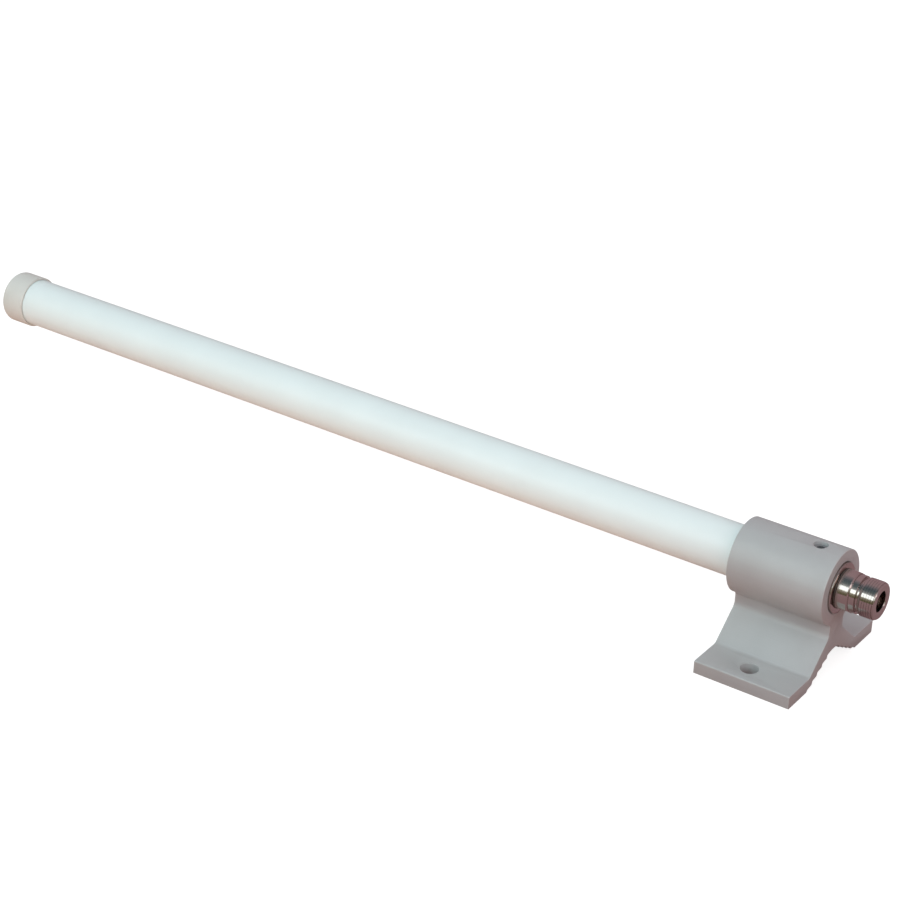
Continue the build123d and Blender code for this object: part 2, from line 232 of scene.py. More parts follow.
def scaled_place(tree, size_mm, stretch=(1.0, 1.0, 1.0)):
    """Object coordinates counted in patterns of size_mm, stretched along each axis."""
    place = add(tree, "ShaderNodeTexCoord")
    per_metre = 1.0 / (size_mm * MM)
    return add(tree, "ShaderNodeMapping", {
        "Vector": place.outputs["Object"], "Scale": tuple(per_metre / s for s in stretch),
    })


def grain(tree, size_mm, stretch=(1.0, 1.0, 1.0), detail=3.0):
    """Cloudy pattern with one feature every size_mm."""
    place = scaled_place(tree, size_mm, stretch)
    return add(tree, "ShaderNodeTexNoise", {"Vector": place, "Scale": 1.0, "Detail": detail})


def rings(tree, feed_mm):
    """Rings about X, one every feed_mm, as a lathe tool leaves them."""
    wave_per_unit = math.pi / 10  # a wave texture repeats every pi / 10 units at scale 1
    return add(tree, "ShaderNodeTexWave", {
        "Vector": scaled_place(tree, feed_mm), "Scale": wave_per_unit, "Distortion": 0.4, "Detail": 1.0,
    }, bands_direction="X").outputs["Fac"]


def edge_wear_and_highlight(tree, radius_mm):
    """0 on flat stretches and 1 on edges, from how far a rounded edge would turn the surface. Lightening
    edges with it paints wear, and on the bracket also a painted highlight along its rounded edges.
    """
    rounded = add(tree, "ShaderNodeBevel", {"Radius": radius_mm * MM}, samples=4)
    flat = add(tree, "ShaderNodeNewGeometry").outputs["Normal"]
    turn = add(tree, "ShaderNodeVectorMath", {0: rounded, 1: flat}, operation="DOT_PRODUCT")
    unturned, well_turned = 0.99, 0.86
    return add(tree, "ShaderNodeMapRange", {"Value": turn, "From Min": unturned, "From Max": well_turned})


# ---------------------------------------------------------------------------------------------
# Materials
# ---------------------------------------------------------------------------------------------


def fibreglass_gelcoat(base):
    """Pultruded fibreglass with white gelcoat: half gloss, glass print along its length, slow waves."""
    material, tree = blank("Fibreglass gelcoat")
    clouds = grain(tree, 24.0)
    glass_print = grain(tree, 0.5, stretch=(60.0, 1.0, 1.0))
    waves = grain(tree, 5.0, stretch=(6.0, 1.0, 1.0))
    printed = add(tree, "ShaderNodeBump", {"Height": glass_print, "Distance": 0.012 * MM})
    clouded = [(0.3, tone(base, 0.97)), (0.7, base)]
    return painted(material, {
        "Base Color": add(tree, "ShaderNodeValToRGB", {"Fac": clouds}, clouded),
        "Roughness": add(tree, "ShaderNodeMapRange", {"Value": clouds, "To Min": 0.38, "To Max": 0.5}),
        "IOR": 1.52,
        "Normal": add(tree, "ShaderNodeBump", {"Height": waves, "Distance": 0.04 * MM, "Normal": printed}),
    })


def moulded_cap_plastic(base):
    """Moulded PVC, matt from a spark-eroded mould and a little warmer than the tube."""
    material, tree = blank("Moulded PVC")
    clouds = grain(tree, 9.0)
    spark = grain(tree, 0.45, detail=4.0)
    clouded = [(0.3, tone(base, 0.93)), (0.7, base)]
    return painted(material, {
        "Base Color": add(tree, "ShaderNodeValToRGB", {"Fac": clouds}, clouded),
        "Roughness": add(tree, "ShaderNodeMapRange", {"Value": spark, "To Min": 0.44, "To Max": 0.6}),
        "IOR": 1.53,
        "Normal": add(tree, "ShaderNodeBump", {"Height": spark, "Distance": 0.035 * MM}),
    })


def blasted_aluminium(base):
    """Extruded aluminium, bead blasted and matt anodised: an even soft grey over faint die lines along X.

    The thick matt oxide scatters most of the light before it reaches the metal, so metallic is well below 1.
    """
    material, tree = blank("Blasted aluminium")
    bead = grain(tree, 0.4, detail=4.0)  # the blast's pits, drawn four times as coarse so that they show
    clouds = grain(tree, 12.0)
    body = add(tree, "ShaderNodeValToRGB", {"Fac": clouds}, [(0.3, tone(base, 0.94)), (0.72, base)])
    die_marks = grain(tree, 0.7, stretch=(60.0, 1.0, 1.0))
    die_lines = add(tree, "ShaderNodeBump", {"Height": die_marks, "Distance": 0.02 * MM})
    return painted(material, {
        # the edges are painted lighter: worn anodise, and a painted highlight along the rounded edges
        "Base Color": add(tree, "ShaderNodeMix", {
            MIX_SHARE: edge_wear_and_highlight(tree, 0.5), MIX_FIRST: body, MIX_SECOND: tone(base, 1.2),
        }, data_type="RGBA"),
        "Metallic": 0.3,
        "Roughness": add(tree, "ShaderNodeMapRange", {"Value": bead, "To Min": 0.5, "To Max": 0.66}),
        "Normal": add(tree, "ShaderNodeBump", {"Height": bead, "Distance": 0.03 * MM, "Normal": die_lines}),
    })


def bright_nickel(base):
    """Turned brass with bright nickel plate: mirror bands, broken a little by the tool's fine rings."""
    material, tree = blank("Bright nickel plate")
    haze = grain(tree, 2.0, detail=5.0)
    tool = rings(tree, 0.25)
    return painted(material, {
        "Base Color": base,
        "Metallic": 1.0,
        "Roughness": add(tree, "ShaderNodeMapRange", {"Value": haze, "To Min": 0.07, "To Max": 0.19}),
        "Normal": add(tree, "ShaderNodeBump", {"Height": tool, "Distance": 0.0025 * MM}),
    })


def zinc_plated_steel(base):
    """Alloy steel with a thin zinc plate: soft grey shine, a faint bloom, brighter where a key has rubbed."""
    material, tree = blank("Zinc plated steel")
    bloom = grain(tree, 0.35, detail=4.0)
    body = add(tree, "ShaderNodeValToRGB", {"Fac": bloom}, [(0.35, tone(base, 0.85)), (0.65, base)])
    return painted(material, {
        "Base Color": add(tree, "ShaderNodeMix", {
            MIX_SHARE: edge_wear_and_highlight(tree, 0.2), MIX_FIRST: body, MIX_SECOND: tone(base, 1.3),
        }, data_type="RGBA"),
        "Metallic": 0.85,
        "Roughness": add(tree, "ShaderNodeMapRange", {"Value": bloom, "To Min": 0.34, "To Max": 0.52}),
        "Normal": add(tree, "ShaderNodeBump", {"Height": bloom, "Distance": 0.01 * MM}),
    })


def nitrile_rubber():
    """Moulded nitrile rubber: dark brown-grey and matt, with a dusty bloom in patches."""
    material, tree = blank("Nitrile rubber")
    bloom = grain(tree, 1.6, detail=4.0)
    tooth = grain(tree, 0.15)
    dusty = [(0.4, linear("#4A433F")), (0.7, linear("#6A615B"))]
    return painted(material, {
        "Base Color": add(tree, "ShaderNodeValToRGB", {"Fac": bloom}, dusty),
        "Roughness": 0.62,
        "IOR": 1.52,
        "Normal": add(tree, "ShaderNodeBump", {"Height": tooth, "Distance": 0.01 * MM}),
    })


def turned_aluminium():
    """Bare turned aluminium: bright, with tool rings one feed apart."""
    base = linear("#D3D4D4")
    material, tree = blank("Turned aluminium")
    tool = rings(tree, 0.3)
    clouds = grain(tree, 5.0)
    clouded = [(0.3, tone(base, 0.92)), (0.7, base)]
    return painted(material, {
        "Base Color": add(tree, "ShaderNodeValToRGB", {"Fac": clouds}, clouded),
        "Metallic": 1.0,
        "Roughness": add(tree, "ShaderNodeMapRange", {"Value": tool, "To Min": 0.24, "To Max": 0.38}),
        "Normal": add(tree, "ShaderNodeBump", {"Height": tool, "Distance": 0.008 * MM}),
    })


def silver_plate():
    """Silver plate on beryllium copper: pale soft shine with a faint brown tarnish."""
    material, tree = blank("Silver plate")
    tarnish = grain(tree, 1.2, detail=4.0)
    tool = rings(tree, 0.2)
    tarnished = [(0.35, linear("#C6BCA8")), (0.6, linear("#E8E4DC"))]
    return painted(material, {
        "Base Color": add(tree, "ShaderNodeValToRGB", {"Fac": tarnish}, tarnished),
        "Metallic": 1.0,
        "Roughness": add(tree, "ShaderNodeMapRange", {"Value": tarnish, "To Min": 0.3, "To Max": 0.2}),
        "Normal": add(tree, "ShaderNodeBump", {"Height": tool, "Distance": 0.003 * MM}),
    })


def drawn_brass():
    """Drawn and turned brass: warm yellow with fine lines along its length."""
    material, tree = blank("Drawn brass")
    clouds = grain(tree, 4.0)
    lines = grain(tree, 0.18, stretch=(50.0, 1.0, 1.0))
    aged = [(0.35, linear("#B98F3E")), (0.65, linear("#D8B25A"))]
    return painted(material, {
        "Base Color": add(tree, "ShaderNodeValToRGB", {"Fac": clouds}, aged),
        "Metallic": 1.0,
        "Roughness": add(tree, "ShaderNodeMapRange", {"Value": lines, "To Min": 0.2, "To Max": 0.34}),
        "Normal": add(tree, "ShaderNodeBump", {"Height": lines, "Distance": 0.004 * MM}),
    })


def bare_copper():
    """Bare rolled copper: red-orange, darker where the air has reached it."""
    material, tree = blank("Bare copper")
    air = grain(tree, 2.5, detail=5.0)
    roll = grain(tree, 0.2)
    aged = [(0.35, linear("#A65B3C")), (0.62, linear("#D98A63"))]
    return painted(material, {
        "Base Color": add(tree, "ShaderNodeValToRGB", {"Fac": air}, aged),
        "Metallic": 1.0,
        "Roughness": add(tree, "ShaderNodeMapRange", {"Value": air, "To Min": 0.24, "To Max": 0.42}),
        "Normal": add(tree, "ShaderNodeBump", {"Height": roll, "Distance": 0.003 * MM}),
    })


def turned_ptfe():
    """Turned PTFE: waxy white that lets a little light in."""
    base = linear("#F1F0EA")
    material, tree = blank("Turned PTFE")
    wax = grain(tree, 1.0)
    tool = rings(tree, 0.25)
    return painted(material, {
        "Base Color": add(tree, "ShaderNodeValToRGB", {"Fac": wax}, [(0.3, tone(base, 0.95)), (0.7, base)]),
        "Roughness": add(tree, "ShaderNodeMapRange", {"Value": wax, "To Min": 0.34, "To Max": 0.48}),
        "IOR": 1.36,
        "Subsurface Weight": 0.15,
        "Subsurface Scale": 0.8 * MM,
        "Normal": add(tree, "ShaderNodeBump", {"Height": tool, "Distance": 0.006 * MM}),
    })


def glass_epoxy():
    """Glass-epoxy laminate under green resist: the 0.4 mm squares of the glass weave show through."""
    base = linear("#2F6B45")
    material, tree = blank("Glass epoxy laminate")
    weave = add(tree, "ShaderNodeTexChecker", {
        "Vector": scaled_place(tree, 0.4), "Scale": 1.0,
    }).outputs["Fac"]
    return painted(material, {
        "Base Color": add(tree, "ShaderNodeValToRGB", {"Fac": weave}, [(0.0, tone(base, 0.86)), (1.0, base)]),
        "Roughness": 0.35,
        "IOR": 1.55,
        "Normal": add(tree, "ShaderNodeBump", {"Height": weave, "Distance": 0.006 * MM}),
    })


def flowed_solder():
    """Flowed tin solder: bright under a slightly frosted skin."""
    material, tree = blank("Flowed solder")
    frost = grain(tree, 0.3, detail=5.0)
    return painted(material, {
        "Base Color": linear("#C3C5C9"),
        "Metallic": 1.0,
        "Roughness": add(tree, "ShaderNodeMapRange", {"Value": frost, "To Min": 0.22, "To Max": 0.45}),
        "Normal": add(tree, "ShaderNodeBump", {"Height": frost, "Distance": 0.01 * MM}),
    })


def cell_foam():
    """Closed-cell polyethylene foam: soft white with cells of about half a millimetre."""
    base = linear("#ECEBE3")
    material, tree = blank("Closed cell foam")
    cells = add(tree, "ShaderNodeTexVoronoi", {"Vector": scaled_place(tree, 0.55), "Scale": 1.0})
    return painted(material, {
        "Base Color": add(tree, "ShaderNodeValToRGB", {"Fac": cells}, [(0.1, tone(base, 0.8)), (0.5, base)]),
        "Roughness": 0.8,
        "Normal": add(tree, "ShaderNodeBump", {"Height": cells, "Distance": 0.08 * MM}),
    })


def moulded_nylon():
    """Natural moulded nylon: milky half gloss with faint flow marks."""
    base = linear("#E3DFD2")
    material, tree = blank("Moulded nylon")
    flow = grain(tree, 2.5, stretch=(1.0, 1.0, 3.0))
    return painted(material, {
        "Base Color": add(tree, "ShaderNodeValToRGB", {"Fac": flow}, [(0.3, tone(base, 0.93)), (0.7, base)]),
        "Roughness": 0.4,
        "IOR": 1.53,
        "Normal": add(tree, "ShaderNodeBump", {"Height": flow, "Distance": 0.01 * MM}),
    })


# ---------------------------------------------------------------------------------------------
# Mesh helpers
# ---------------------------------------------------------------------------------------------


def new_piece(name, mesh, material, body, slot, *replaced):
    """Links a finished mesh as a piece that rides on a body and stands for frame nodes."""
    mesh.name = name
    mesh.materials.clear()
    mesh.materials.append(material)
    piece = bpy.data.objects.new(name, mesh)
    bpy.context.scene.collection.objects.link(piece)
    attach(piece, body)
    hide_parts(*replaced)
    return piece


def smooth_by_angle(mesh, degrees):
    """Smooth shading with edges sharper than the angle kept hard."""
    mesh.shade_smooth()
    mesh.set_sharp_from_angle(angle=math.radians(degrees))


def arc(x, r, radius, start, end, steps):
    """(x, radius) points on an arc about a centre, with angles in degrees from +X towards larger radii."""
    points = []
    for i in range(steps + 1):
        turn = math.radians(start + (end - start) * i / steps)
        points.append((x + radius * math.cos(turn), r + radius * math.sin(turn)))
    return points


def even_angles(count):
    """Angles spaced evenly round a full turn."""
    return [2 * math.pi * step / count for step in range(count)]


def lathe(outline, angles, reach=None):
    """Closed mesh turned about the antenna's axis from a closed loop of (x, radius) points.

    reach(x, turn) gives the largest radius at a place, where the turned shape is cut back.
    """
    shape = bmesh.new()
    columns = []
    for turn in angles:
        column = []
        for x, r in outline:
            held = min(r, reach(x, turn)) if reach else r
            column.append(shape.verts.new((x, held * math.cos(turn), AXIS_Z + held * math.sin(turn))))
        columns.append(column)
    for here, following in zip(columns, columns[1:] + columns[:1]):
        for i in range(len(outline)):
            j = (i + 1) % len(outline)
            shape.faces.new((here[i], here[j], following[j], following[i]))
    merge_distance = 1e-7
    bmesh.ops.remove_doubles(shape, verts=shape.verts, dist=merge_distance)
    bmesh.ops.dissolve_degenerate(shape, edges=shape.edges, dist=merge_distance)
    bmesh.ops.recalc_face_normals(shape, faces=shape.faces)
    mesh = bpy.data.meshes.new("turned")
    shape.to_mesh(mesh)
    shape.free()
    return mesh


def carrier(mesh):
    """Linked object that holds a mesh while a modifier works on it."""
    holder = bpy.data.objects.new("carrier", mesh)
    bpy.context.scene.collection.objects.link(holder)
    return holder


def evaluated_mesh(holder):
    """Plain mesh of an object with its modifiers; the object is then removed."""
    bpy.context.view_layer.update()
    graph = bpy.context.evaluated_depsgraph_get()
    mesh = bpy.data.meshes.new_from_object(holder.evaluated_get(graph))
    bpy.data.objects.remove(holder)
    return mesh


def merged_copy(node):
    """Copy of a frame node's mesh with its loose triangles merged and its flat faces joined."""
    shape = bmesh.new()
    shape.from_mesh(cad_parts[node].data)
    same_place = 2e-6
    flat_within = math.radians(0.5)
    bmesh.ops.remove_doubles(shape, verts=shape.verts, dist=same_place)
    bmesh.ops.dissolve_limit(
        shape, angle_limit=flat_within, verts=shape.verts, edges=shape.edges, delimit={"NORMAL"}
    )
    mesh = bpy.data.meshes.new(node)
    shape.to_mesh(mesh)
    shape.free()
    return mesh


def softened(mesh, width, sharp=HARD_EDGE):
    """The mesh with its edges rounded and shaded smooth, and its flat faces kept flat."""
    mesh.shade_smooth()
    holder = carrier(mesh)
    rounding = holder.modifiers.new("Edges", "BEVEL")
    rounding.width = width
    rounding.segments = 2
    rounding.limit_method = "ANGLE"
    rounding.angle_limit = math.radians(sharp)
    rounding.miter_outer = "MITER_ARC"
    rounding.harden_normals = True
    return evaluated_mesh(holder)


# ---------------------------------------------------------------------------------------------
# Geometry Nodes
# ---------------------------------------------------------------------------------------------


def tree_with(name, *inputs):
    """Empty geometry tree with named inputs; returns the tree and the outputs of its group input."""
    tree = bpy.data.node_groups.new(name, "GeometryNodeTree")
    for label, kind, value in inputs:
        socket = tree.interface.new_socket(label, in_out="INPUT", socket_type=kind)
        if value is not None:
            socket.default_value = value
    tree.interface.new_socket("Geometry", in_out="OUTPUT", socket_type="NodeSocketGeometry")
    return tree, add(tree, "NodeGroupInput").outputs


def close_tree(tree, given, geometry):
    """Turns the geometry's Z axis to X and ends the tree in Realize Instances and Set Material."""
    turned = add(tree, "GeometryNodeTransform", {
        "Geometry": geometry, "Rotation": (0.0, math.radians(90), 0.0),
    })
    plain = add(tree, "GeometryNodeRealizeInstances", {"Geometry": turned})
    painted_mesh = add(tree, "GeometryNodeSetMaterial", {"Geometry": plain, "Material": given["Material"]})
    add(tree, "NodeGroupOutput", {"Geometry": painted_mesh})


def grown(tree, values):
    """Plain mesh that a geometry tree makes from the given input values."""
    holder = carrier(bpy.data.meshes.new("carrier"))
    modifier = holder.modifiers.new("Grow", "NODES")
    modifier.node_group = tree
    for socket in tree.interface.items_tree:
        if socket.name in values:
            modifier[socket.identifier] = values[socket.name]
    return evaluated_mesh(holder)


def tube_tree():
    """Tube: the wall's section, a rounded rectangle, swept round a circle."""
    tree, given = tree_with(
        "Rounded tube",
        ("Length", "NodeSocketFloat", 0.1),
        ("Outer Radius", "NodeSocketFloat", 0.01),
        ("Wall", "NodeSocketFloat", 0.001),
        ("Edge Rounding", "NodeSocketFloat", 0.0003),
        ("Rounding Steps", "NodeSocketInt", 4),
        ("Segments", "NodeSocketInt", ROUND_SIDES),
        ("Material", "NodeSocketMaterial", None),
    )
    half_wall = add(tree, "ShaderNodeMath", {0: given["Wall"], 1: 0.5}, operation="MULTIPLY")
    middle = add(tree, "ShaderNodeMath", {0: given["Outer Radius"], 1: half_wall}, operation="SUBTRACT")
    path = add(tree, "GeometryNodeCurvePrimitiveCircle", {"Resolution": given["Segments"], "Radius": middle})
    section = add(tree, "GeometryNodeCurvePrimitiveQuadrilateral", {
        "Width": given["Wall"], "Height": given["Length"],
    })
    rounded = add(tree, "GeometryNodeFilletCurve", {
        "Curve": section, "Radius": given["Edge Rounding"], "Count": given["Rounding Steps"],
    }, mode="POLY")
    swept = add(tree, "GeometryNodeCurveToMesh", {"Curve": path, "Profile Curve": rounded})
    close_tree(tree, given, swept)
    return tree


def thread_tree():
    """Screw thread: a flat-topped ridge swept along a helix and cut back by a chamfer at both ends."""
    tree, given = tree_with(
        "Screw thread",
        ("Length", "NodeSocketFloat", 0.006),
        ("Pitch", "NodeSocketFloat", 0.001),
        ("Crest Radius", "NodeSocketFloat", 0.008),
        ("Depth", "NodeSocketFloat", 0.0003),
        ("Crest Share", "NodeSocketFloat", 0.55),
        ("Foot Share", "NodeSocketFloat", THREAD_FOOT),
        ("End Chamfer", "NodeSocketFloat", 0.001),
        ("Steps Per Turn", "NodeSocketInt", 96),
        ("Material", "NodeSocketMaterial", None),
    )
    turns = add(tree, "ShaderNodeMath", {0: given["Length"], 1: given["Pitch"]}, operation="DIVIDE")
    # the ridge's foot is sunk into the barrel, so that no gap shows under it
    height = add(tree, "ShaderNodeMath", {0: given["Depth"], 1: 1 + THREAD_SUNK}, operation="MULTIPLY")
    half_height = add(tree, "ShaderNodeMath", {0: height, 1: 0.5}, operation="MULTIPLY")
    middle = add(tree, "ShaderNodeMath", {0: given["Crest Radius"], 1: half_height}, operation="SUBTRACT")
    helix = add(tree, "GeometryNodeCurveSpiral", {
        "Resolution": given["Steps Per Turn"], "Rotations": turns,
        "Start Radius": middle, "End Radius": middle, "Height": given["Length"],
    })
    upright = add(tree, "GeometryNodeSetCurveNormal", {"Curve": helix}, mode="Z_UP")
    foot = add(tree, "ShaderNodeMath", {0: given["Pitch"], 1: given["Foot Share"]}, operation="MULTIPLY")
    crest = add(tree, "ShaderNodeMath", {0: given["Pitch"], 1: given["Crest Share"]}, operation="MULTIPLY")
    section = add(tree, "GeometryNodeCurvePrimitiveQuadrilateral", {
        "Bottom Width": foot, "Top Width": crest, "Height": height, "Offset": 0.0,
    }, mode="TRAPEZOID")
    outward = add(tree, "GeometryNodeTransform", {
        "Geometry": section, "Rotation": (0.0, 0.0, math.radians(THREAD_SIDE)),
    })
    swept = add(tree, "GeometryNodeCurveToMesh", {
        "Curve": upright, "Profile Curve": outward, "Fill Caps": True,
    })
    place = add(tree, "GeometryNodeInputPosition")
    along = add(tree, "ShaderNodeSeparateXYZ", {"Vector": place}).outputs["Z"]
    flat = add(tree, "ShaderNodeVectorMath", {0: place, 1: (1.0, 1.0, 0.0)}, operation="MULTIPLY")
    radius = add(tree, "ShaderNodeVectorMath", {0: flat}, operation="LENGTH")
    left = add(tree, "ShaderNodeMath", {0: given["Length"], 1: along}, operation="SUBTRACT")
    from_end = add(tree, "ShaderNodeMath", {0: along, 1: left}, operation="MINIMUM")
    missing = add(tree, "ShaderNodeMath", {0: given["End Chamfer"], 1: from_end}, operation="SUBTRACT")
    cut = add(tree, "ShaderNodeMath", {0: missing, 1: 0.0}, operation="MAXIMUM")
    allowed = add(tree, "ShaderNodeMath", {0: given["Crest Radius"], 1: cut}, operation="SUBTRACT")
    kept = add(tree, "ShaderNodeMath", {0: radius, 1: allowed}, operation="MINIMUM")
    share = add(tree, "ShaderNodeMath", {0: kept, 1: radius}, operation="DIVIDE")
    factors = add(tree, "ShaderNodeCombineXYZ", {"X": share, "Y": share, "Z": 1.0})
    moved = add(tree, "ShaderNodeVectorMath", {0: place, 1: factors}, operation="MULTIPLY")
    chamfered = add(tree, "GeometryNodeSetPosition", {"Geometry": swept, "Position": moved})
    close_tree(tree, given, chamfered)
    return tree


# ---------------------------------------------------------------------------------------------
# Operators
# ---------------------------------------------------------------------------------------------


class ANTENNA_OT_radome(bpy.types.Operator):
    """Add the white fibreglass tube"""

    bl_idname = "antenna.add_radome"
    bl_label = "Radome Tube"

    def execute(self, context):
        sizes = context.scene.antenna_sizes
        material = fibreglass_gelcoat(context.scene.antenna_colours.gelcoat)
        low_x, high_x = node_x("radome_tube")
        mesh = grown(tube_tree(), {
            "Length": high_x - low_x,
            "Outer Radius": node_radius("radome_tube"),
            "Wall": sizes.tube_wall,
            "Edge Rounding": sizes.tube_edge,
            "Material": material,
        })
        mesh.transform(Matrix.Translation(((low_x + high_x) / 2, 0, AXIS_Z)))
        smooth_by_angle(mesh, HARD_EDGE)
        new_piece("radome", mesh, material, "stick", "fibreglass", "radome_tube")
        return {"FINISHED"}


class ANTENNA_OT_cap(bpy.types.Operator):
    """Add the moulded cap at the far end"""

    bl_idname = "antenna.add_cap"
    bl_label = "End Cap"

    def execute(self, context):
        sizes = context.scene.antenna_sizes
        material = moulded_cap_plastic(context.scene.antenna_colours.cap)
        mesh = lathe(self.outline(sizes), even_angles(ROUND_SIDES))
        smooth_by_angle(mesh, HARD_EDGE)
        new_piece("cap", mesh, material, "stick", "cap_plastic", "end_cap")
        return {"FINISHED"}

    def outline(self, sizes):
        """Section of the cap, from the centre of its closed end out along its outside and back inside."""
        end_x, rim_x = node_x("end_cap")
        outer_r = node_radius("end_cap")
        bore_r = outer_r - sizes.cap_wall
        seal_x = sum(node_x("cap_seal")) / 2
        seal_half = (node_x("cap_seal")[1] - node_x("cap_seal")[0]) / 2
        seal_r = node_radius("cap_seal")
        spigot_r = seal_r - sizes.seal_squeeze
        groove_half = seal_half + sizes.groove_room
        groove_r = seal_r - 2 * seal_half
        inside_x = end_x + sizes.cap_face
        spigot_x = inside_x + sizes.spigot_length
        hollow_r = spigot_r - sizes.spigot_wall
        shoulder, rim = sizes.cap_round, sizes.cap_rim
        shoulder_steps, rim_steps, spigot_steps = 14, 5, 4
        points = [(end_x, 0.0)]
        points += arc(end_x + shoulder, outer_r - shoulder, shoulder, 180, 90, shoulder_steps)
        points += arc(rim_x - rim, outer_r - rim, rim, 90, 0, rim_steps)
        points += arc(rim_x - rim, bore_r + rim, rim, 0, -90, rim_steps)
        points += [
            (inside_x, bore_r),
            (inside_x, spigot_r),
            (seal_x - groove_half, spigot_r),
            (seal_x - groove_half, groove_r),
            (seal_x + groove_half, groove_r),
            (seal_x + groove_half, spigot_r),
        ]
        points += arc(spigot_x - rim, spigot_r - rim, rim, 90, 0, spigot_steps)
        points += [(spigot_x, hollow_r), (inside_x, hollow_r), (inside_x, 0.0)]
        return points


class ANTENNA_OT_bracket(bpy.types.Operator):
    """Add the blasted aluminium collar bracket"""

    bl_idname = "antenna.add_bracket"
    bl_label = "Collar Bracket"

    def execute(self, context):
        sizes = context.scene.antenna_sizes
        material = blasted_aluminium(context.scene.antenna_colours.aluminium)
        mesh = softened(merged_copy("mounting_bracket"), sizes.bracket_edge)
        new_piece("collar_bracket", mesh, material, "bracket", "cast_aluminium", "mounting_bracket")
        return {"FINISHED"}


class ANTENNA_OT_jack(bpy.types.Operator):
    """Add the nickel-plated jack shell with its wrench flats and thread"""

    bl_idname = "antenna.add_jack"
    bl_label = "Jack Shell"

    def execute(self, context):
        sizes = context.scene.antenna_sizes
        material = shared("Bright nickel plate", bright_nickel, context.scene.antenna_colours.nickel)
        slightest_edge = 12  # degrees, small enough to round the edges of the wrench flats too
        mesh = softened(self.shell(sizes), sizes.small_edge, slightest_edge)
        half_foot = sizes.thread_pitch * THREAD_FOOT / 2
        thread = grown(thread_tree(), {
            "Length": sizes.barrel_length - 2 * half_foot,
            "Pitch": sizes.thread_pitch,
            "Crest Radius": sizes.barrel_radius,
            "Depth": sizes.thread_depth,
            "Foot Share": THREAD_FOOT,
            "End Chamfer": sizes.barrel_chamfer - half_foot,
            "Material": material,
        })
        start_x = node_x("connector_body")[1] - sizes.barrel_length + half_foot
        thread.transform(Matrix.Translation((start_x, 0, AXIS_Z)))
        smooth_by_angle(thread, HARD_EDGE)
        new_piece("jack_shell", joined(mesh, thread), material, "stick", "nickel_plate", "connector_body")
        return {"FINISHED"}

    def shell(self, sizes):
        """Turned shell with two flats on its shoulder."""
        tail_x, face_x = node_x("connector_body")
        shoulder_x = node_x("connector_gasket")[1]
        mouth_x = node_x("front_bead")[1]
        step_x = shoulder_x + sizes.shoulder_length
        groove_x = step_x + sizes.step_length
        thread_x = face_x - sizes.barrel_length
        shoulder_r = node_radius("connector_body")
        root_r = sizes.barrel_radius - sizes.thread_depth
        foot = sizes.barrel_chamfer - sizes.thread_depth
        edge, lip = sizes.shoulder_chamfer, sizes.socket_chamfer
        outline = [
            (tail_x, sizes.line_radius),
            (tail_x, sizes.stem_radius),
            (shoulder_x, sizes.stem_radius),
            (shoulder_x, shoulder_r - edge),
            (shoulder_x + edge, shoulder_r),
            (step_x - edge, shoulder_r),
            (step_x, shoulder_r - edge),
            (step_x, sizes.step_radius),
            (groove_x, sizes.step_radius),
            (groove_x, sizes.relief_radius),
            (thread_x, sizes.relief_radius),
            (thread_x + foot, root_r),
            (face_x - foot, root_r),
            (face_x, root_r - foot),
            (face_x, sizes.socket_radius + lip),
            (face_x - lip, sizes.socket_radius),
            (mouth_x, sizes.socket_radius),
            (mouth_x, sizes.line_radius),
        ]
        quarter, full = math.pi / 2, 2 * math.pi
        half_flats = sizes.wrench_flats / 2
        corner = math.acos(half_flats / shoulder_r)
        middles = (sizes.flats_turn + quarter, sizes.flats_turn - quarter)
        corners = [(middle + side * corner) % full for middle in middles for side in (-1, 1)]
        straight = 1e-6

        def reach(x, turn):
            if not shoulder_x - edge < x < step_x + edge:
                return math.inf
            facing = abs(math.cos(turn - middles[0]))
            return half_flats / max(facing, straight)

        return lathe(outline, sorted(even_angles(ROUND_SIDES) + corners), reach)


def joined(first, second):
    """One mesh from two."""
    shape = bmesh.new()
    shape.from_mesh(first)
    shape.from_mesh(second)
    mesh = bpy.data.meshes.new("joined")
    shape.to_mesh(mesh)
    shape.free()
    return mesh


class ANTENNA_OT_small_pieces(bpy.types.Operator):
    """Add the turned, pressed and moulded pieces at the jack's end, with broken edges"""

    bl_idname = "antenna.add_small_pieces"
    bl_label = "Screw, Plug, Rings and Contact"

    def execute(self, context):
        sizes, colours = context.scene.antenna_sizes, context.scene.antenna_colours
        steel = shared("Zinc plated steel", zinc_plated_steel, colours.steel)
        rubber = shared("Nitrile rubber", nitrile_rubber)
        plug = turned_aluminium()
        nickel = shared("Bright nickel plate", bright_nickel, colours.nickel)
        silver = silver_plate()
        ptfe = shared("Turned PTFE", turned_ptfe)
        rows = (
            ("grub_screw", "set_screw", steel, "screw", "screw_steel", 1.0),
            ("plug", "base_plug", plug, "stick", "plug_aluminium", 2.0),
            ("flat_washer", "connector_washer", nickel, "stick", "nickel_plate", 1.5),
            ("rubber_ring", "connector_gasket", rubber, "stick", "seal_rubber", 3.0),
            ("socket_contact", "centre_contact", silver, "stick", "silver_plate", 0.5),
            ("mouth_bead", "front_bead", ptfe, "stick", "ptfe", 1.5),
        )
        for name, node, material, body, slot, share in rows:
            mesh = softened(merged_copy(node), sizes.small_edge * share)
            new_piece(name, mesh, material, body, slot, node)
        return {"FINISHED"}


